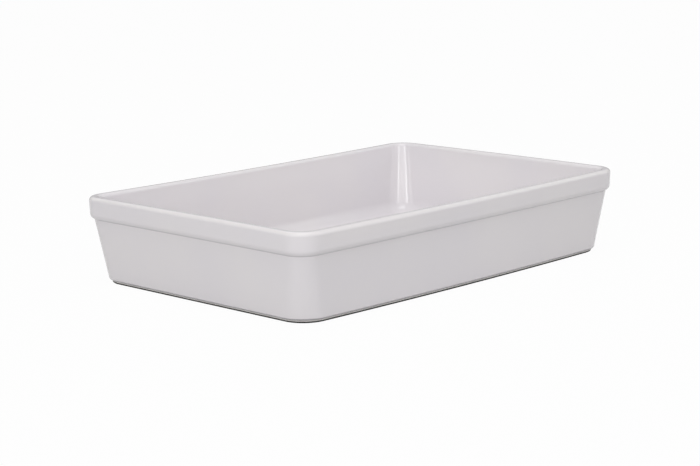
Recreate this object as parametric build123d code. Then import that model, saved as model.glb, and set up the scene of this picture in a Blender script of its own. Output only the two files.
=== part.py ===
from build123d import *
import math
import os

# A rectangular glazed stoneware lasagne dish, in millimetres.
# Origin: centre of the plane that the foot ring stands on. +X runs along the length, +Z points up.

# Overall size
LENGTH = 360.0  # over the rim band
WIDTH = 240.0  # over the rim band
HEIGHT = 67.0  # foot ring to rim

# Rim band, the raised collar round the top of the walls
BAND_HEIGHT = 17.3
BAND_STEP = 3.0  # how far the band's lower edge stands out from the wall
BAND_DRAFT_DEG = 1.5
BAND_CORNER = 18.0
BAND_LOWER_ROUND = 5.0
RIM_WIDTH = 7.5  # across the flat top, before its edges are rounded
RIM_OUTER_ROUND = 3.0
RIM_INNER_ROUND = 3.0

# Outer walls below the band
WALL_DRAFT_DEG = 6.3
WALL_TOP_CORNER = 15.0
WALL_BASE_CORNER = 21.0
CREASE_ROUND = 0.9
SHOULDER_ROUND = 2.0  # lower edge of the wall, above the foot ring

# Cavity
WALL_AT_FLOOR = 6.2  # thickness of the wall where it meets the floor
FLOOR_THICKNESS = 5.5
LIP_CORNER = 12.0
FLOOR_CORNER = 18.0
FLOOR_ROUND = 11.0

# Foot ring and the recess inside it
FOOT_HEIGHT = 2.4
FOOT_INSET = 2.4  # from the lower edge of the wall
FOOT_WIDTH = 7.0
FOOT_ROUND = 1.0
RECESS_DEPTH = 2.2

# Glaze
GLAZE_THICKNESS = 0.4

# Places worked out from the sizes above
CREASE_LEVEL = HEIGHT - BAND_HEIGHT
BAND_LEAN = BAND_HEIGHT * math.tan(math.radians(BAND_DRAFT_DEG))
CREASE_INSET = BAND_LEAN + BAND_STEP
WALL_LEAN = (CREASE_LEVEL - FOOT_HEIGHT) * math.tan(math.radians(WALL_DRAFT_DEG))
BASE_INSET = CREASE_INSET + WALL_LEAN
FOOT_OUTER_INSET = BASE_INSET + FOOT_INSET
FOOT_INNER_INSET = FOOT_OUTER_INSET + FOOT_WIDTH
CAVITY_FLOOR_INSET = BASE_INSET + WALL_AT_FLOOR
CAVITY_FLOOR_LEVEL = RECESS_DEPTH + FLOOR_THICKNESS
FOOT_OUTER_CORNER = WALL_BASE_CORNER - FOOT_INSET
FOOT_INNER_CORNER = FOOT_OUTER_CORNER - FOOT_WIDTH


def outline(inset, corner, level):
    """Rounded rectangle at one height, drawn in from the outer face of the rim band."""
    rectangle = RectangleRounded(LENGTH - 2 * inset, WIDTH - 2 * inset, corner)
    return Pos(0, 0, level) * rectangle


def frustum(lower, upper):
    """Straight-sided block between two outlines."""
    return loft([outline(*lower), outline(*upper)], ruled=True)


def edges_at(shape, level):
    """Edges of a block that lie in one level plane."""
    return shape.edges().filter_by_position(Axis.Z, level, level)


def wall_block(skin):
    """Tapering block inside the outer walls, from the foot up to the band."""
    lower = (BASE_INSET + skin, WALL_BASE_CORNER - skin, FOOT_HEIGHT + skin)
    upper = (CREASE_INSET + skin, WALL_TOP_CORNER - skin, CREASE_LEVEL + skin)
    block = frustum(lower, upper)
    return fillet(edges_at(block, FOOT_HEIGHT + skin), SHOULDER_ROUND - skin)


def band_block(skin):
    """Block inside the rim band, with its upper and lower edges rounded."""
    lower_round = BAND_LOWER_ROUND - skin
    short_of_step = max(BAND_LOWER_ROUND - BAND_STEP, 0)
    arc_below_crease = BAND_LOWER_ROUND - math.sqrt(BAND_LOWER_ROUND**2 - short_of_step**2)
    bottom = CREASE_LEVEL - arc_below_crease + skin
    top = HEIGHT - skin
    block = frustum((BAND_LEAN + skin, BAND_CORNER - BAND_LEAN - skin, bottom), (skin, BAND_CORNER - skin, top))
    block = fillet(edges_at(block, bottom), lower_round)
    return fillet(edges_at(block, top), RIM_OUTER_ROUND - skin)


def cavity_block(skin):
    """Block of air inside the dish, with the rounding where the floor meets the walls."""
    floor_level = CAVITY_FLOOR_LEVEL - skin
    lower = (CAVITY_FLOOR_INSET - skin, FLOOR_CORNER + skin, floor_level)
    upper = (RIM_WIDTH - skin, LIP_CORNER + skin, HEIGHT - skin)
    block = frustum(lower, upper)
    return fillet(edges_at(block, floor_level), FLOOR_ROUND + skin)


def dish_form(skin):
    """Walls, band and cavity as one solid, drawn in by the thickness of a skin all over."""
    form = wall_block(skin) + band_block(skin) - cavity_block(skin)
    rim = form.faces().sort_by(Axis.Z)[-1]
    return fillet(rim.inner_wires()[0].edges(), RIM_INNER_ROUND - skin)


def crease_edges(form):
    """Edges where the underside of the band meets the walls."""
    return form.edges().filter_by_position(Axis.Z, CREASE_LEVEL - CREASE_ROUND, CREASE_LEVEL + CREASE_ROUND)


def foot_pad():
    """Pad below the floor, the foot ring's outer shape."""
    lower = (FOOT_OUTER_INSET, FOOT_OUTER_CORNER, 0)
    upper = (FOOT_OUTER_INSET, FOOT_OUTER_CORNER, CAVITY_FLOOR_LEVEL - GLAZE_THICKNESS)
    return fillet(edges_at(frustum(lower, upper), 0), FOOT_ROUND)


def recess_slice(bottom, top):
    """Part of the recess inside the foot ring, between two levels."""
    return frustum((FOOT_INNER_INSET, FOOT_INNER_CORNER, bottom), (FOOT_INNER_INSET, FOOT_INNER_CORNER, top))


def make_ceramic_body():
    """Fired body: floor, walls, rim band and bare foot ring in one casting."""
    body = dish_form(GLAZE_THICKNESS) + foot_pad() - recess_slice(0, RECESS_DEPTH)
    foot_face = body.faces().sort_by(Axis.Z)[0]
    return fillet(foot_face.inner_wires()[0].edges(), FOOT_ROUND)


def make_glaze_coat(body):
    """Glaze over the inside, the rim and the outside down to the foot ring, pooled in the crease."""
    form = dish_form(0)
    form = fillet(crease_edges(form), CREASE_ROUND)
    return form - body


def make_underside_glaze():
    """Glaze panel in the recess inside the foot ring."""
    return recess_slice(RECESS_DEPTH - GLAZE_THICKNESS, RECESS_DEPTH)


def main():
    os.makedirs("parts", exist_ok=True)
    body = make_ceramic_body()
    nodes = {
        "ceramic_body": body,
        "glaze_coat": make_glaze_coat(body),
        "underside_glaze": make_underside_glaze(),
    }
    for name, shape in nodes.items():
        export_step(shape, f"parts/{name}.step")
        print(name, len(shape.solids()), round(shape.volume), shape.bounding_box())


main()
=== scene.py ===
"""Visual model of a white glazed stoneware lasagne dish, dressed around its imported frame."""
import logging
import math
from dataclasses import dataclass, field, replace
from enum import Enum
from typing import Any, Iterator, Sequence

import bpy
from mathutils import Matrix, Vector


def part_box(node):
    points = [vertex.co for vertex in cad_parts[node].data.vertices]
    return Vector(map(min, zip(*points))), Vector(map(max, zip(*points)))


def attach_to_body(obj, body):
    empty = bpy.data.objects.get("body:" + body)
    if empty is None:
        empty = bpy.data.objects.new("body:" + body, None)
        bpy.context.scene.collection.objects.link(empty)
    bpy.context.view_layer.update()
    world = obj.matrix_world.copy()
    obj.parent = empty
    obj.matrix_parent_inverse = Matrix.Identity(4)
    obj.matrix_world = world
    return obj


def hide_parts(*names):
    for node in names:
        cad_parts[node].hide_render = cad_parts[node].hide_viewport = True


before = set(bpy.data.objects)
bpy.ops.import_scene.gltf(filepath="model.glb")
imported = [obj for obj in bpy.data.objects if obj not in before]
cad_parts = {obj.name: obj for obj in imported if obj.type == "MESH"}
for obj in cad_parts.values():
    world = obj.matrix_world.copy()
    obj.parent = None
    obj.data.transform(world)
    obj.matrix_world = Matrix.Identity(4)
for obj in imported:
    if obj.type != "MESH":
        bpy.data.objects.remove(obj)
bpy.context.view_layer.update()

LOG = logging.getLogger("dish")
MM = 0.001
BODY = "root"
PHOTO_WIDTH_PX = 700
SENSOR_WIDTH_MM = 36.0
# name of the mesh's record of thin glaze, of pooled glaze with painted shade, and of a painted contact
# shadow on the clay
FILM_AND_SHADE_ATTRIBUTE = "glaze_film_and_shade"
TINY = 1e-6  # metres, less than any size on the dish
NEAR_EDGE_POWER = 4  # how closely a sag keeps to the rims
BAND_ARC_STEPS = 10  # divisions of the rounding under the band
BAND_ARC_START = math.radians(14)  # how far past the crease that rounding starts
FLOOR_STRIP_IN_ROUNDS = 1.2  # first flat strip of the floor, in radii of its rounding
MIX_SHARE, MIX_FIRST, MIX_SECOND, MIX_RESULT = 0, 6, 7, 2  # sockets of a Mix node for colours

Point = tuple[float, float, float]
Colour = tuple[float, float, float, float]
Range = tuple[float, float]


class Rounding(Enum):
    """The dish's roundings, each with its number of divisions and how the glaze and painted shade lie on
    it.

    The second number is below 0 where the glaze runs thin and above 0 where the colour is darkened, partly
    by pooled glaze and partly as painted shade: strongly under the shoulder, at the crease and at the
    panel's edge, and faintly in the floor's rounding.
    """

    SHARP = (0, 0.0)
    FOOT_INNER = (6, 0.0)
    FOOT_OUTER = (8, 0.0)
    PANEL_EDGE = (5, 0.8)
    SHOULDER = (8, 1.0)
    CREASE = (8, 0.42)
    RIM_OUTER = (12, -1.0)
    RIM_INNER = (12, -0.15)
    FLOOR = (20, 0.05)

    @property
    def steps(self) -> int:
        """Number of divisions."""
        return self.value[0]

    @property
    def film(self) -> float:
        """How the glaze and painted shade lie in its middle."""
        return self.value[1]


class Operation(Enum):
    """What a Math node does with its two values."""

    ADD = "ADD"
    SUBTRACT = "SUBTRACT"
    MULTIPLY = "MULTIPLY"
    LARGER = "MAXIMUM"
    SMALLER = "MINIMUM"


class SeenRay(Enum):
    """The rays that show a surface to the camera."""

    DIRECT = "Is Camera Ray"
    MIRRORED = "Is Glossy Ray"
    THROUGH_GLASS = "Is Transmission Ray"


@dataclass(frozen=True)
class DishSizes:
    """Real sizes of the dish in metres: the overall ones from the frame, the rest as constructed."""

    length: float
    width: float
    height: float
    band_height: float = 17.3 * MM
    band_step: float = 3.0 * MM
    band_draft: float = math.radians(1.5)
    band_corner: float = 18.0 * MM
    band_lower_round: float = 5.0 * MM
    rim_width: float = 7.5 * MM
    rim_outer_round: float = 3.0 * MM
    rim_inner_round: float = 3.0 * MM
    wall_draft: float = math.radians(6.3)
    wall_top_corner: float = 15.0 * MM
    wall_base_corner: float = 21.0 * MM
    crease_round: float = 0.9 * MM
    shoulder_round: float = 2.0 * MM
    wall_at_floor: float = 6.2 * MM
    floor_thickness: float = 5.5 * MM
    lip_corner: float = 12.0 * MM
    floor_corner: float = 18.0 * MM
    floor_round: float = 11.0 * MM
    foot_height: float = 2.4 * MM
    foot_inset: float = 2.4 * MM
    foot_width: float = 7.0 * MM
    foot_round: float = 1.0 * MM
    recess_depth: float = 2.2 * MM
    glaze: float = 0.4 * MM
    rim_sag: float = 1.2 * MM
    corner_sag: float = 0.3 * MM
    base_bow: float = 4.6 * MM

    @classmethod
    def from_frame(cls) -> "DishSizes":
        """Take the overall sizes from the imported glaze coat.

        Returns:
            The sizes, with length and width to the sharp top edge of the band.
        """
        low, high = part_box("glaze_coat")
        over_round = 2 * cls.rim_outer_round * math.tan(cls.band_draft)
        size = high - low
        return cls(length=size.x + over_round, width=size.y + over_round, height=high.z)

    @property
    def crease_level(self) -> float:
        """Height of the crease under the band."""
        return self.height - self.band_height

    @property
    def band_lean(self) -> float:
        """How far the band's face leans in over its height."""
        return self.band_height * math.tan(self.band_draft)

    @property
    def crease_inset(self) -> float:
        """Inset of the wall at the crease, from the band's top edge."""
        return self.band_lean + self.band_step

    @property
    def base_inset(self) -> float:
        """Inset of the wall's lower edge."""
        return self.crease_inset + (self.crease_level - self.foot_height) * math.tan(self.wall_draft)

    @property
    def foot_outer_inset(self) -> float:
        """Inset of the foot ring's outer face."""
        return self.base_inset + self.foot_inset

    @property
    def foot_inner_inset(self) -> float:
        """Inset of the foot ring's inner face."""
        return self.foot_outer_inset + self.foot_width

    @property
    def foot_outer_corner(self) -> float:
        """Plan radius of the foot ring's outer face."""
        return self.wall_base_corner - self.foot_inset

    @property
    def foot_inner_corner(self) -> float:
        """Plan radius of the foot ring's inner face."""
        return self.foot_outer_corner - self.foot_width

    @property
    def floor_inset(self) -> float:
        """Inset of the cavity's wall at the floor."""
        return self.base_inset + self.wall_at_floor

    @property
    def floor_level(self) -> float:
        """Height of the glazed floor inside the dish."""
        return self.recess_depth + self.floor_thickness

    def settle(self, point: Point) -> Point:
        """Move a point as the fired dish differs from the straight one.

        The long sides' rims sag, the corners a little less, and the long sides bow out at the base.

        Args:
            point: A place on the straight dish.

        Returns:
            The place on the fired dish.
        """
        x, y, z = point
        share_x, share_y = 2 * x / self.length, 2 * y / self.width
        along = max(0.0, 1.0 - share_x**2)
        by_short_rim = min(1.0, abs(share_x)) ** NEAR_EDGE_POWER
        by_long_rim = min(1.0, abs(share_y)) ** NEAR_EDGE_POWER
        short_side = max(0.0, 1.0 - share_y**2) * by_short_rim
        sag = self.rim_sag * along * by_long_rim + self.corner_sag * (1.0 - short_side)
        low = max(0.0, 1.0 - z / self.crease_level)
        return x, y + self.base_bow * along * share_y * low, z - sag * (z / self.height) ** 2


@dataclass(frozen=True)
class Station:
    """One level line round the dish.

    film is how the glaze lies there and how much shade is painted: below 0 where the glaze runs
    thin, above 0 where pooled glaze and painted shade darken it. On bare clay it is above 0 where a contact
    shadow is painted on the clay.
    """

    inset: float
    level: float
    corner: float
    film: float = 0.0


@dataclass(frozen=True)
class Bend:
    """One corner of the dish's cross-section, rounded or sharp."""

    inset: float
    level: float
    corner: float
    radius: float = 0.0
    rounding: Rounding = Rounding.SHARP


@dataclass
class CrossSection:
    """The dish's cross-section from one end to the other, as corners with their roundings."""

    bends: list[Bend]
    spacing: float = 4.0 * MM
    guard: float = 0.35 * MM
    guards_in_least_span: float = 3.0

    def stations(self) -> list[Station]:
        """Level lines for the whole section, closer beside the roundings.

        Returns:
            The lines in order, with no two at one place.
        """
        runs = [self._round(i) for i in range(len(self.bends))]
        out = list(runs[0])
        for run in runs[1:]:
            out.extend(self._span(out[-1], run[0]))
            out.extend(run)
        return out

    def _round(self, index: int) -> list[Station]:
        """Stations of one corner of the section.

        Args:
            index: Which corner.

        Returns:
            One station for a sharp corner, or those of its arc.
        """
        bend = self.bends[index]
        if bend.rounding is Rounding.SHARP:
            return [Station(bend.inset, bend.level, bend.corner)]
        before, after = self.bends[index - 1], self.bends[index + 1]
        here = Vector((bend.inset, bend.level))
        back = Vector((before.inset, before.level)) - here
        ahead = Vector((after.inset, after.level)) - here
        turn = math.pi - back.angle(ahead)
        reach = bend.radius * math.tan(turn / 2)
        share_back, share_ahead = reach / back.length, reach / ahead.length
        start, end = here + back * share_back, here + ahead * share_ahead
        corner_start = bend.corner + (before.corner - bend.corner) * share_back
        corner_end = bend.corner + (after.corner - bend.corner) * share_ahead
        middle = (back.normalized() + ahead.normalized()).normalized()
        centre = here + middle * (bend.radius / math.cos(turn / 2))
        first, last = start - centre, end - centre
        run = end.x - start.x
        out = []
        for step in range(bend.rounding.steps + 1):
            share = step / bend.rounding.steps
            weight_first = math.sin((1 - share) * turn) / math.sin(turn)
            weight_last = math.sin(share * turn) / math.sin(turn)
            place = centre + first * weight_first + last * weight_last
            across = (place.x - start.x) / run if abs(run) > TINY else share
            corner = corner_start + (corner_end - corner_start) * across
            film = bend.rounding.film * math.sin(share * math.pi) ** 2
            out.append(Station(place.x, place.y, corner, film))
        return out

    def _span(self, start: Station, end: Station) -> Iterator[Station]:
        """Stations strictly between two, with one close beside each end.

        Args:
            start: The station before the span.
            end: The station after it.

        Yields:
            The stations of the span.
        """
        length = math.hypot(end.inset - start.inset, end.level - start.level)
        if length < self.guards_in_least_span * self.guard:
            return
        edge = self.guard / length
        count = max(1, round(length / self.spacing))
        inner = [edge + (1 - 2 * edge) * i / count for i in range(count + 1)]
        for share in inner:
            yield Station(
                start.inset + (end.inset - start.inset) * share,
                start.level + (end.level - start.level) * share,
                start.corner + (end.corner - start.corner) * share,
            )


@dataclass(frozen=True)
class Plan:
    """How each level line is divided as it goes round, from the middle of one corner."""

    corner_steps: int = 24
    long_steps: int = 56
    short_steps: int = 36
    guard_share: float = 0.006

    def _side(self, start: Vector, end: Vector, steps: int) -> list[Vector]:
        """Points strictly between two corners' ends, close beside them first.

        Args:
            start: Where the side starts.
            end: Where it ends.
            steps: Number of divisions.

        Returns:
            The points of the side.
        """
        between = 1 - 2 * self.guard_share
        inner = [self.guard_share + between * i / (steps - 2) for i in range(steps - 1)]
        return [start.lerp(end, share) for share in inner]

    def loop(self, half_length: float, half_width: float, corner: float) -> list[Vector]:
        """Points of a rounded rectangle, anticlockwise.

        Args:
            half_length: Half its length along X.
            half_width: Half its width along Y.
            corner: Radius of its corners.

        Returns:
            The points, from the middle of the corner at low X and low Y.
        """
        x, y = half_length - corner, half_width - corner
        centres = [Vector((-x, -y)), Vector((x, -y)), Vector((x, y)), Vector((-x, y))]
        arcs = []
        for quarter, centre in enumerate(centres):
            start = math.pi + quarter * math.pi / 2
            arc = []
            for step in range(self.corner_steps + 1):
                angle = start + math.pi / 2 * step / self.corner_steps
                arc.append(centre + Vector((math.cos(angle), math.sin(angle))) * corner)
            arcs.append(arc)
        half = self.corner_steps // 2
        points = list(arcs[0][half:])
        for quarter in range(1, 5):
            arc = arcs[quarter % 4]
            steps = self.long_steps if quarter % 2 else self.short_steps
            points.extend(self._side(points[-1], arc[0], steps))
            points.extend(arc if quarter < 4 else arc[:half])
        return points

    @property
    def grid(self) -> tuple[int, int]:
        """Cells along X and Y of a level panel inside a level line."""
        return self.long_steps + self.corner_steps, self.short_steps + self.corner_steps


@dataclass
class DishMesh:
    """A mesh of level lines round the dish, joined in order and closed by level panels."""

    sizes: DishSizes
    plan: Plan = field(default_factory=Plan)
    points: list[Point] = field(default_factory=list)
    films_and_shade: list[float] = field(default_factory=list)
    faces: list[Sequence[int]] = field(default_factory=list)

    def add_line(self, station: Station) -> list[int]:
        """Add one level line.

        Args:
            station: Its place in the cross-section.

        Returns:
            The line's point numbers.
        """
        half_length = self.sizes.length / 2 - station.inset
        half_width = self.sizes.width / 2 - station.inset
        loop = self.plan.loop(half_length, half_width, station.corner)
        first = len(self.points)
        self.points.extend((p.x, p.y, station.level) for p in loop)
        self.films_and_shade.extend([station.film] * len(loop))
        return list(range(first, len(self.points)))

    def join(self, line: Sequence[int], following: Sequence[int], inward: bool = False) -> None:
        """Join two level lines with a band of faces.

        Args:
            line: Point numbers of the first line.
            following: Point numbers of the next line of the section.
            inward: Whether the faces look the other way.
        """
        count = len(line)
        for i in range(count):
            j = (i + 1) % count
            quad = (line[i], line[j], following[j], following[i])
            self.faces.append(quad[::-1] if inward else quad)

    def sweep(self, stations: Sequence[Station], inward: bool = False) -> tuple[list[int], list[int]]:
        """Add and join a run of level lines.

        Args:
            stations: The lines, in order.
            inward: Whether the faces look the other way.

        Returns:
            The first and the last line's point numbers.
        """
        lines = [self.add_line(s) for s in stations]
        for line, following in zip(lines, lines[1:]):
            self.join(line, following, inward)
        return lines[0], lines[-1]

    def panel(self, line: Sequence[int], downward: bool = False) -> None:
        """Close a level line with a panel of four-sided faces.

        Args:
            line: The line's point numbers.
            downward: Whether the panel looks down.
        """
        columns, rows = self.plan.grid
        level = self.points[line[0]][2]
        flat = [Vector(self.points[i][:2]) for i in line]
        south = flat[: columns + 1]
        east = flat[columns : columns + rows + 1]
        north = flat[columns + rows : 2 * columns + rows + 1][::-1]
        west = ([*flat[2 * columns + rows :], flat[0]])[::-1]
        cells: dict[tuple[int, int], int] = {}
        for i in range(columns + 1):
            cells[i, 0] = line[i]
            cells[i, rows] = line[2 * columns + rows - i]
        for j in range(1, rows):
            cells[columns, j] = line[columns + j]
            cells[0, j] = line[(2 * columns + 2 * rows - j) % len(line)]
        for i in range(1, columns):
            u = (south[i].x - south[0].x) / (south[-1].x - south[0].x)
            for j in range(1, rows):
                v = (west[j].y - west[0].y) / (west[-1].y - west[0].y)
                place = south[i] * (1 - v) + north[i] * v + west[j] * (1 - u) + east[j] * u
                place -= (south[0] * (1 - u) + south[-1] * u) * (1 - v)
                place -= (north[0] * (1 - u) + north[-1] * u) * v
                cells[i, j] = len(self.points)
                self.points.append((place.x, place.y, level))
                self.films_and_shade.append(0.0)
        for i in range(columns):
            for j in range(rows):
                quad = (cells[i, j], cells[i + 1, j], cells[i + 1, j + 1], cells[i, j + 1])
                self.faces.append(quad[::-1] if downward else quad)

    def build(self, name: str, material: bpy.types.Material) -> bpy.types.Object:
        """Make the Blender object, settled as the fired dish is.

        Args:
            name: The piece's name.
            material: Its finish.

        Returns:
            The object, linked to the scene.
        """
        mesh = bpy.data.meshes.new(name)
        mesh.from_pydata([self.sizes.settle(p) for p in self.points], [], self.faces)
        mesh.polygons.foreach_set("use_smooth", [True] * len(mesh.polygons))
        film = mesh.attributes.new(FILM_AND_SHADE_ATTRIBUTE, "FLOAT", "POINT")
        film.data.foreach_set("value", self.films_and_shade)
        mesh.materials.append(material)
        mesh.validate()
        mesh.update()
        piece = bpy.data.objects.new(name, mesh)
        bpy.context.scene.collection.objects.link(piece)
        return piece


class Value:
    """A shader output that takes part in arithmetic: each operation adds one Math node."""

    def __init__(self, shader: "NodeTree", output: bpy.types.NodeSocket) -> None:
        """Wrap one output of a tree's node."""
        self.shader = shader
        self.output = output

    def _math(self, operation: Operation, first: Any, second: Any) -> "Value":
        """Add a Math node on two values.

        Args:
            operation: The node's operation.
            first: Its first value, a number or a wrapped output.
            second: Its second value.

        Returns:
            The node's output, wrapped.
        """
        return self.shader.node("ShaderNodeMath", {"operation": operation.value}, {0: first, 1: second})

    def __add__(self, other: Any) -> "Value":
        """Sum."""
        return self._math(Operation.ADD, self, other)

    def __radd__(self, other: Any) -> "Value":
        """Sum, with a number first."""
        return self._math(Operation.ADD, other, self)

    def __sub__(self, other: Any) -> "Value":
        """Difference."""
        return self._math(Operation.SUBTRACT, self, other)

    def __rsub__(self, other: Any) -> "Value":
        """Difference, with a number first."""
        return self._math(Operation.SUBTRACT, other, self)

    def __mul__(self, other: Any) -> "Value":
        """Product."""
        return self._math(Operation.MULTIPLY, self, other)

    def __rmul__(self, other: Any) -> "Value":
        """Product, with a number first."""
        return self._math(Operation.MULTIPLY, other, self)

    def above(self, other: Any) -> "Value":
        """The larger of two values."""
        return self._math(Operation.LARGER, self, other)

    def below(self, other: Any) -> "Value":
        """The smaller of two values."""
        return self._math(Operation.SMALLER, self, other)

    def ramp(self, low: float, high: float) -> "Value":
        """Smooth step from 0 at low to 1 at high."""
        inputs = {"Value": self, "From Min": low, "From Max": high}
        return self.shader.node("ShaderNodeMapRange", {"interpolation_type": "SMOOTHSTEP"}, inputs)


class NodeTree:
    """A node tree under construction, empty at first."""

    output_kind = ""

    def __init__(self, owner: bpy.types.Material | bpy.types.World) -> None:
        """Start an empty tree.

        Args:
            owner: The material or world that it belongs to.
        """
        owner.use_nodes = True
        self.tree = owner.node_tree
        self.tree.nodes.clear()

    def node(
        self, kind: str, settings: dict[str, Any], inputs: dict[Any, Any], output: str | int = 0
    ) -> Value:
        """Add one node.

        Args:
            kind: The node's type.
            settings: Its properties, set first.
            inputs: Socket names or numbers, with values or wrapped outputs.
            output: The socket to return, by name or number.

        Returns:
            That output, wrapped.
        """
        node = self.tree.nodes.new(kind)
        for key, value in settings.items():
            setattr(node, key, value)
        for key, value in inputs.items():
            if isinstance(value, Value):
                self.tree.links.new(value.output, node.inputs[key])
            else:
                node.inputs[key].default_value = value
        return Value(self, node.outputs[output])

    def blend(self, share: Value, first: Value, second: Value) -> Value:
        """Blend two shaders.

        Args:
            share: How much of the second.
            first: The first shader.
            second: The second shader.

        Returns:
            The blended shader.
        """
        return self.node("ShaderNodeMixShader", {}, {0: share, 1: first, 2: second})

    def output(self, shader: Value) -> None:
        """Send a shader to the tree's output."""
        node = self.tree.nodes.new(self.output_kind)
        self.tree.links.new(shader.output, node.inputs["Surface"])


class Surroundings(NodeTree):
    """The world's node tree."""

    output_kind = "ShaderNodeOutputWorld"

    def __init__(self, name: str) -> None:
        """Start a world of that name."""
        self.world = bpy.data.worlds.new(name)
        super().__init__(self.world)

    def rise(self) -> Value:
        """How far a direction points up: 0 at the horizon and 1 overhead."""
        direction = self.node("ShaderNodeTexCoord", {}, {}, "Generated")
        return self.node("ShaderNodeSeparateXYZ", {}, {"Vector": direction}, "Z")

    def light(self, colour: Colour, strength: float) -> Value:
        """Even light of one colour.

        Args:
            colour: Its colour.
            strength: Its strength.

        Returns:
            The light.
        """
        return self.node("ShaderNodeBackground", {}, {"Color": colour, "Strength": strength})


@dataclass(frozen=True)
class Noise:
    """Soft noise: the size of its blotches in metres, the number of finer layers and their strength."""

    size: float
    detail: float = 2.0
    roughness: float = 0.5


@dataclass(frozen=True)
class Dots:
    """Sparse round dots: the spacing of the cells that may hold one, its radius, and the share that do."""

    spacing: float
    radius: float
    share: float


class Shader(NodeTree):
    """A material's node tree, and the nodes that finishes share."""

    output_kind = "ShaderNodeOutputMaterial"
    dot_core = 0.5
    dot_choice_width = 0.01

    def __init__(self, name: str) -> None:
        """Start a material of that name."""
        self.material = bpy.data.materials.new(name)
        super().__init__(self.material)

    def place(self) -> Value:
        """Coordinates of the surface in metres, in the dish's own frame."""
        return self.node("ShaderNodeTexCoord", {}, {}, "Object")

    def film(self) -> Value:
        """The mesh's own record of where the glaze runs thin, and of painted shade.

        Above 0 pooled glaze and painted shade darken the glaze, and a contact shadow is painted on the
        clay.
        """
        return self.node("ShaderNodeAttribute", {"attribute_name": FILM_AND_SHADE_ATTRIBUTE}, {}, "Fac")

    def noise(self, noise: Noise) -> Value:
        """Soft noise from 0 to 1.

        Args:
            noise: Its size and detail.

        Returns:
            The noise.
        """
        inputs = {
            "Vector": self.place(),
            "Scale": 1 / noise.size,
            "Detail": noise.detail,
            "Roughness": noise.roughness,
        }
        return self.node("ShaderNodeTexNoise", {}, inputs, "Fac")

    def dots(self, dots: Dots) -> Value:
        """Sparse round dots, 1 inside a dot.

        Args:
            dots: Their spacing, radius and share.

        Returns:
            The mask.
        """
        inputs = {"Vector": self.place(), "Scale": 1 / dots.spacing}
        distance = self.node("ShaderNodeTexVoronoi", {}, inputs, "Distance")
        colour = self.node("ShaderNodeTexVoronoi", {}, inputs, "Color")
        pick = self.node("ShaderNodeSeparateColor", {}, {"Color": colour}, "Red")
        edge = dots.radius / dots.spacing
        dot = 1 - distance.ramp(self.dot_core * edge, edge)
        return dot * (1 - pick.ramp(dots.share, dots.share + self.dot_choice_width))

    def mix(self, share: Any, first: Any, second: Any) -> Value:
        """Mix two colours.

        Args:
            share: How much of the second.
            first: The first colour, written or wrapped.
            second: The second colour.

        Returns:
            The mixed colour.
        """
        inputs = {MIX_SHARE: share, MIX_FIRST: first, MIX_SECOND: second}
        return self.node("ShaderNodeMix", {"data_type": "RGBA"}, inputs, MIX_RESULT)

    def bump(self, height: Value, distance: float, normal: Value | None = None) -> Value:
        """Bump the surface.

        Args:
            height: Height from 0 to 1.
            distance: What a height of 1 stands for, in metres.
            normal: A bump that this one lies on.

        Returns:
            The bumped normal.
        """
        inputs: dict[str, Any] = {"Strength": 1.0, "Distance": distance, "Height": height}
        if normal is not None:
            inputs["Normal"] = normal
        return self.node("ShaderNodeBump", {}, inputs)

    def surface(self, inputs: dict[str, Any]) -> bpy.types.Material:
        """Close the tree with the main shader.

        Args:
            inputs: Its sockets' values and links.

        Returns:
            The material.
        """
        self.output(self.node("ShaderNodeBsdfPrincipled", {}, inputs))
        return self.material

    def seen(self) -> Value:
        """1 where the camera sees the surface, directly, mirrored or through glass."""
        direct, mirrored, through = (self.node("ShaderNodeLightPath", {}, {}, ray.value) for ray in SeenRay)
        return (direct + mirrored + through).below(1.0)


@dataclass(frozen=True)
class GlazeFinish:
    """Glossy white stoneware glaze: thin and warm on edges, dark and cool where pooled glaze and painted
    shade lie.
    """

    name: str = "white_glaze"
    colour: Colour = (0.716, 0.69, 0.714, 1.0)
    thin_colour: Colour = (0.725, 0.702, 0.7, 1.0)
    # dark cool colour of pooled glaze together with painted shade in the crease and under the shoulder
    pooled_and_shade_colour: Colour = (0.3, 0.284, 0.309, 1.0)
    cloud_colour: Colour = (0.737, 0.71, 0.722, 1.0)
    speck_colour: Colour = (0.36, 0.33, 0.31, 1.0)
    thin_strength: float = 0.8
    speck_strength: float = 0.7
    clouds: Noise = Noise(90 * MM)
    cloud_range: Range = (0.35, 0.7)
    specks: Dots = Dots(26 * MM, 0.42 * MM, 0.12)
    waves: Noise = Noise(34 * MM, 1.0)
    wave_height: float = 0.05 * MM
    peel: Noise = Noise(2.6 * MM, 1.0)
    peel_height: float = 0.004 * MM
    roughness: float = 0.11
    patches: Noise = Noise(36 * MM, 3.0)
    least_patch: float = 0.9
    patch_swing: float = 0.3
    ior: float = 1.5
    specular: float = 0.5

    def build(self) -> bpy.types.Material:
        """Make the material.

        Returns:
            The material, named after its finish.
        """
        shader = Shader(self.name)
        film = shader.film()
        thin = (film * -1).above(0.0)
        # pooled glaze and painted shade darken the colour where the mask is above 0
        pooled_and_shade = film.above(0.0)
        cloud = shader.noise(self.clouds).ramp(*self.cloud_range)
        colour = shader.mix(cloud, self.colour, self.cloud_colour)
        colour = shader.mix(thin * self.thin_strength, colour, self.thin_colour)
        colour = shader.mix(pooled_and_shade, colour, self.pooled_and_shade_colour)
        specks = shader.dots(self.specks)
        colour = shader.mix(specks * self.speck_strength, colour, self.speck_colour)
        waves = shader.bump(shader.noise(self.waves), self.wave_height)
        peel = shader.bump(shader.noise(self.peel), self.peel_height, waves)
        patches = self.least_patch + self.patch_swing * shader.noise(self.patches)
        return shader.surface(
            {
                "Base Color": colour,
                "Roughness": self.roughness * patches,
                "IOR": self.ior,
                "Normal": peel,
                "Specular IOR Level": self.specular,
            }
        )


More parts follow.
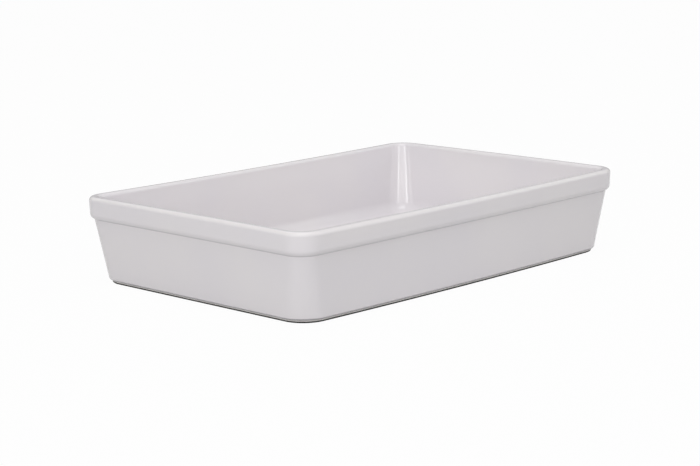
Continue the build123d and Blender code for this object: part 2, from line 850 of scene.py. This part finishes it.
@dataclass(frozen=True)
class ClayFinish:
    """Bare fired clay of the foot ring: matte, fine-grained, rubbed in places, with a contact shadow
    painted on its edge.
    """

    name: str = "fired_clay"
    colour: Colour = (0.72, 0.70, 0.68, 1.0)
    rubbed_colour: Colour = (0.80, 0.78, 0.76, 1.0)
    grain_colour: Colour = (0.50, 0.48, 0.46, 1.0)
    # near-black painted contact shadow on the foot's standing edge
    contact_shadow_colour: Colour = (0.015, 0.014, 0.012, 1.0)
    roughness: float = 0.82
    roughness_swing: float = 0.1
    rubbing: Noise = Noise(22 * MM, 4.0, 0.6)
    rubbed_range: Range = (0.4, 0.62)
    flecks: Dots = Dots(3.2 * MM, 0.3 * MM, 0.35)
    fleck_strength: float = 0.6
    grain: Noise = Noise(0.5 * MM, 3.0, 0.65)
    grain_strength: float = 0.35
    grain_height: float = 0.05 * MM
    contact_shadow_range: Range = (0.1, 0.6)

    def build(self) -> bpy.types.Material:
        """Make the material.

        Returns:
            The material, named after its finish.
        """
        shader = Shader(self.name)
        rubbed = shader.noise(self.rubbing).ramp(*self.rubbed_range)
        colour = shader.mix(rubbed, self.colour, self.rubbed_colour)
        flecks = shader.dots(self.flecks)
        colour = shader.mix(flecks * self.fleck_strength, colour, self.grain_colour)
        grain = shader.noise(self.grain)
        grained = shader.mix(grain, self.grain_colour, self.rubbed_colour)
        colour = shader.mix(self.grain_strength, colour, grained)
        # paints the contact shadow on the foot's standing edge
        colour = shader.mix(shader.film().ramp(*self.contact_shadow_range), colour, self.contact_shadow_colour)
        normal = shader.bump(grain, self.grain_height)
        roughness = self.roughness + self.roughness_swing * (grain - 0.5)
        return shader.surface({"Base Color": colour, "Roughness": roughness, "Normal": normal})


@dataclass
class GlazeCoat:
    """The glaze over the inside, the rim and the outside, and its face against the clay."""

    sizes: DishSizes
    finish: GlazeFinish = field(default_factory=GlazeFinish)

    def build(self) -> bpy.types.Object:
        """Build the coat as one closed shell.

        Returns:
            The piece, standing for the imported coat.
        """
        mesh = DishMesh(self.sizes)
        outside = dish_section(self.sizes, 0.0).stations()
        outer_first, outer_last = mesh.sweep(outside)
        mesh.panel(outer_last)
        against_clay = dish_section(self.sizes, self.sizes.glaze).stations()
        inner_first, inner_last = mesh.sweep(against_clay, inward=True)
        mesh.panel(inner_last, downward=True)
        mesh.join(inner_first, outer_first)
        piece = mesh.build("glaze_skin", self.finish.build())
        return attach(piece, "glaze_coat")


@dataclass
class ClayBody:
    """The fired body under the glaze, whose foot ring shows bare."""

    sizes: DishSizes
    finish: ClayFinish = field(default_factory=ClayFinish)
    # top of the painted contact shadow on the foot's outer face
    contact_shadow_top: float = 1.2 * MM
    foot_spacing: float = 1.5 * MM
    foot_guard: float = 0.12 * MM

    @property
    def foot_middle_inset(self) -> float:
        """Inset of the foot ring's middle line."""
        return (self.sizes.foot_inner_inset + self.sizes.foot_outer_inset) / 2

    def foot_section(self) -> CrossSection:
        """The foot ring, from the recess round its underside to the lower edge of the wall.

        Returns:
            The ring's section.
        """
        s = self.sizes
        inner, outer = s.foot_inner_inset, s.foot_outer_inset
        middle_corner = (s.foot_inner_corner + s.foot_outer_corner) / 2
        top = s.foot_height + s.glaze
        return CrossSection(
            [
                Bend(inner, s.recess_depth, s.foot_inner_corner),
                Bend(inner, 0.0, s.foot_inner_corner, s.foot_round, Rounding.FOOT_INNER),
                Bend(self.foot_middle_inset, 0.0, middle_corner),
                Bend(outer, 0.0, s.foot_outer_corner, s.foot_round, Rounding.FOOT_OUTER),
                Bend(outer, self.contact_shadow_top, s.foot_outer_corner),
                Bend(outer, top, s.foot_outer_corner),
            ],
            spacing=self.foot_spacing,
            guard=self.foot_guard,
        )

    def paint_contact_shadow(self, station: Station) -> Station:
        """Mark a station that lies on the foot's outer standing edge, where a contact shadow is painted.

        Args:
            station: One of the foot ring's.

        Returns:
            The station, with its film set to 1 there.
        """
        outside = station.inset < self.foot_middle_inset
        in_contact_shadow = outside and TINY < station.level <= self.contact_shadow_top
        return replace(station, film=1.0) if in_contact_shadow else station

    def build(self) -> bpy.types.Object:
        """Build the body as one closed solid.

        Returns:
            The piece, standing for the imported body.
        """
        mesh = DishMesh(self.sizes)
        foot = [self.paint_contact_shadow(station) for station in self.foot_section().stations()]
        upper = dish_section(self.sizes, self.sizes.glaze).stations()
        recess_line, floor_line = mesh.sweep([*foot, *upper[1:]])
        mesh.panel(recess_line, downward=True)
        mesh.panel(floor_line)
        piece = mesh.build("clay_body", self.finish.build())
        return attach(piece, "ceramic_body")


@dataclass
class UndersideGlaze:
    """The glaze in the recess inside the foot ring."""

    sizes: DishSizes
    finish: GlazeFinish = field(
        default_factory=lambda: GlazeFinish(
            name="underside_glaze",
            roughness=0.2,
            colour=(0.70, 0.68, 0.69, 1.0),
            specks=Dots(26 * MM, 0.42 * MM, 0.25),
        )
    )
    creep: float = 0.25 * MM
    edge_guard: float = 0.05 * MM

    def build(self) -> bpy.types.Object:
        """Build the panel as one closed plate.

        Returns:
            The piece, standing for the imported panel.
        """
        s = self.sizes
        bottom = s.recess_depth - s.glaze
        outer, corner = s.foot_inner_inset, s.foot_inner_corner
        strip = 2 * s.glaze
        section = CrossSection(
            [
                Bend(outer + strip, bottom, corner - strip),
                Bend(outer, bottom, corner, self.creep, Rounding.PANEL_EDGE),
                Bend(outer, s.recess_depth, corner),
            ],
            guard=self.edge_guard,
        )
        mesh = DishMesh(s)
        lower_line, upper_line = mesh.sweep(section.stations())
        mesh.panel(lower_line, downward=True)
        mesh.panel(upper_line)
        piece = mesh.build("underside_skin", self.finish.build())
        return attach(piece, "underside_glaze")


def dish_section(s: DishSizes, skin: float) -> CrossSection:
    """The dish's section from the foot's outer face over the rim to the floor inside.

    Args:
        s: The dish's sizes.
        skin: How far the section is drawn in from the glazed surface.

    Returns:
        The section, each corner with its rounding.
    """
    low, top = s.foot_height + skin, s.height - skin
    base, base_corner = s.base_inset + skin, s.wall_base_corner - skin
    crease, crease_corner = s.crease_inset + skin, s.wall_top_corner - skin
    crease_level = s.crease_level + skin
    rim_middle_corner = (s.band_corner + s.lip_corner) / 2
    lip, lip_corner = s.rim_width - skin, s.lip_corner + skin
    floor, floor_corner, floor_level = s.floor_inset - skin, s.floor_corner + skin, s.floor_level - skin
    strip = s.floor_round * FLOOR_STRIP_IN_ROUNDS
    bends = [
        Bend(s.foot_outer_inset, low, s.foot_outer_corner),
        Bend(base, low, base_corner, s.shoulder_round - skin, Rounding.SHOULDER),
        Bend(crease, crease_level, crease_corner, s.crease_round - skin, Rounding.CREASE),
        *band_underside(s, skin),
        Bend(skin, top, s.band_corner - skin, s.rim_outer_round - skin, Rounding.RIM_OUTER),
        Bend(s.rim_width / 2, top, rim_middle_corner),
        Bend(lip, top, lip_corner, s.rim_inner_round - skin, Rounding.RIM_INNER),
        Bend(floor, floor_level, floor_corner, s.floor_round + skin, Rounding.FLOOR),
        Bend(floor + strip, floor_level, floor_corner - strip),
    ]
    return CrossSection(bends)


def band_underside(s: DishSizes, skin: float) -> list[Bend]:
    """Points of the arc that rounds the band's lower edge, from just past the crease to its face.

    Args:
        s: The dish's sizes.
        skin: How far the section is drawn in from the glazed surface.

    Returns:
        The arc's points as sharp corners close together.
    """
    radius = s.band_lower_round - skin
    centre_inset = s.band_lean + skin + radius
    short_of_step = s.band_lower_round - s.band_step
    centre_level = s.crease_level + math.sqrt(s.band_lower_round**2 - short_of_step**2)
    crease_angle = math.asin((centre_inset - s.crease_inset - skin) / radius)
    start, end = crease_angle + BAND_ARC_START, math.pi / 2 - s.band_draft
    out = []
    for step in range(BAND_ARC_STEPS + 1):
        angle = start + (end - start) * step / BAND_ARC_STEPS
        inset = centre_inset - radius * math.sin(angle)
        level = centre_level - radius * math.cos(angle)
        out.append(Bend(inset, level, s.band_corner - inset))
    return out


def attach(piece: bpy.types.Object, node: str) -> bpy.types.Object:
    """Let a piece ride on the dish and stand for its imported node.

    Args:
        piece: The piece.
        node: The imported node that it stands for.

    Returns:
        The piece.
    """
    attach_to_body(piece, BODY)
    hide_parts(node)
    return piece


@dataclass(frozen=True)
class PhotoCamera:
    """The camera that the photograph was taken with, as fitted to the dish's outlines."""

    azimuth: float = math.radians(45.871)
    elevation: float = math.radians(11.179)
    roll: float = math.radians(-0.941)
    focal_px: float = 1880.7
    distance: float = 1476.9 * MM
    aim_right: float = 6.4 * MM
    aim_up: float = 6.4 * MM
    aim_level: float = 32.0 * MM
    nearest: float = 0.05
    farthest: float = 20.0

    def build(self) -> bpy.types.Object:
        """Create the camera and make it the scene's own.

        Returns:
            The camera.
        """
        az, el = self.azimuth, self.elevation
        ahead = Vector((math.sin(az) * math.cos(el), math.cos(az) * math.cos(el), -math.sin(el)))
        level_right = Vector((math.cos(az), -math.sin(az), 0.0))
        level_up = level_right.cross(ahead)
        right = level_right * math.cos(self.roll) + level_up * math.sin(self.roll)
        up = level_up * math.cos(self.roll) - level_right * math.sin(self.roll)
        data = bpy.data.cameras.new("photo_camera")
        data.sensor_width = SENSOR_WIDTH_MM
        data.lens = self.focal_px * SENSOR_WIDTH_MM / PHOTO_WIDTH_PX
        data.clip_start = self.nearest
        data.clip_end = self.farthest
        camera = bpy.data.objects.new("photo_camera", data)
        turn = Matrix((right, up, -ahead)).transposed().to_4x4()
        place = Vector((0, 0, self.aim_level)) - ahead * self.distance
        place -= right * self.aim_right + up * self.aim_up
        camera.matrix_world = Matrix.Translation(place) @ turn
        bpy.context.scene.collection.objects.link(camera)
        bpy.context.scene.camera = camera
        return camera


@dataclass(frozen=True)
class Softbox:
    """One soft rectangular lamp that looks at the dish, placed by angles in degrees."""

    name: str
    azimuth: float
    elevation: float
    distance: float
    width: float
    height: float
    power: float
    aim_level: float = 30 * MM

    def build(self) -> bpy.types.Object:
        """Create the lamp.

        Returns:
            The lamp, linked to the scene.
        """
        data = bpy.data.lights.new(self.name, "AREA")
        data.shape = "RECTANGLE"
        data.size = self.width
        data.size_y = self.height
        data.energy = self.power
        lamp = bpy.data.objects.new(self.name, data)
        az, el = math.radians(self.azimuth), math.radians(self.elevation)
        back = Vector((-math.sin(az) * math.cos(el), -math.cos(az) * math.cos(el), math.sin(el)))
        lamp.location = Vector((0, 0, self.aim_level)) + back * self.distance
        lamp.rotation_mode = "QUATERNION"
        lamp.rotation_quaternion = (-back).to_track_quat("-Z", "Y")
        bpy.context.scene.collection.objects.link(lamp)
        return lamp


@dataclass
class Studio:
    """Pale floor, surroundings that brighten upward, and soft lamps."""

    floor_half: float = 8.0
    floor_colour: Colour = (0.56, 0.56, 0.56, 1.0)
    floor_white_share: float = 0.97
    light_colour: Colour = (1.0, 1.0, 1.0, 1.0)
    horizon_strength: float = 0.28
    overhead_strength: float = 0.6
    horizon_rise: float = 0.14
    overhead_rise: float = 0.36
    lamps: tuple[Softbox, ...] = (
        Softbox("left_lamp", azimuth=80, elevation=16, distance=2.2, width=0.3, height=0.8, power=6.0),
        Softbox("right_lamp", azimuth=23, elevation=16, distance=2.2, width=0.22, height=0.8, power=4.2),
        Softbox("front_lamp", azimuth=50, elevation=15, distance=2.3, width=2.0, height=0.5, power=5.0),
        Softbox("high_lamp", azimuth=56, elevation=42, distance=2.4, width=2.0, height=1.2, power=8.5),
        Softbox("side_lamp", azimuth=-50, elevation=25, distance=2.4, width=2.0, height=1.2, power=5.0),
        Softbox("overhead_lamp", azimuth=46, elevation=80, distance=2.0, width=0.9, height=0.9, power=10.0),
    )

    def build_floor(self) -> bpy.types.Object:
        """Lay the floor, white where it is seen but for the dish's shadow.

        Returns:
            The floor.
        """
        h = self.floor_half
        mesh = bpy.data.meshes.new("floor")
        mesh.from_pydata([(-h, -h, 0), (h, -h, 0), (h, h, 0), (-h, h, 0)], [], [(0, 1, 2, 3)])
        shader = Shader("floor")
        matte = shader.node("ShaderNodeBsdfDiffuse", {}, {"Color": self.floor_colour})
        white = shader.node("ShaderNodeEmission", {}, {"Color": self.light_colour, "Strength": 1.0})
        shader.output(shader.blend(shader.seen() * self.floor_white_share, matte, white))
        mesh.materials.append(shader.material)
        floor = bpy.data.objects.new("floor", mesh)
        bpy.context.scene.collection.objects.link(floor)
        return floor

    def build_world(self) -> None:
        """Light the dish from all round, softly from the sides and more from above."""
        around = Surroundings("surroundings")
        low = around.light(self.light_colour, self.horizon_strength)
        high = around.light(self.light_colour, self.overhead_strength)
        share = around.rise().ramp(self.horizon_rise, self.overhead_rise)
        around.output(around.blend(share, low, high))
        bpy.context.scene.world = around.world

    def build(self) -> None:
        """Build the whole studio."""
        self.build_floor()
        self.build_world()
        for lamp in self.lamps:
            lamp.build()
        bpy.context.scene.view_settings.view_transform = "Standard"


def main() -> None:
    """Build the camera, the studio and the dish, and report each piece."""
    logging.basicConfig(level=logging.INFO, format="%(name)s: %(message)s")
    PhotoCamera().build()
    Studio().build()
    sizes = DishSizes.from_frame()
    for maker in (ClayBody(sizes), GlazeCoat(sizes), UndersideGlaze(sizes)):
        piece = maker.build()
        LOG.info("%s: %d points, %d faces", piece.name, len(piece.data.vertices), len(piece.data.polygons))


if __name__ == "__main__":
    main()
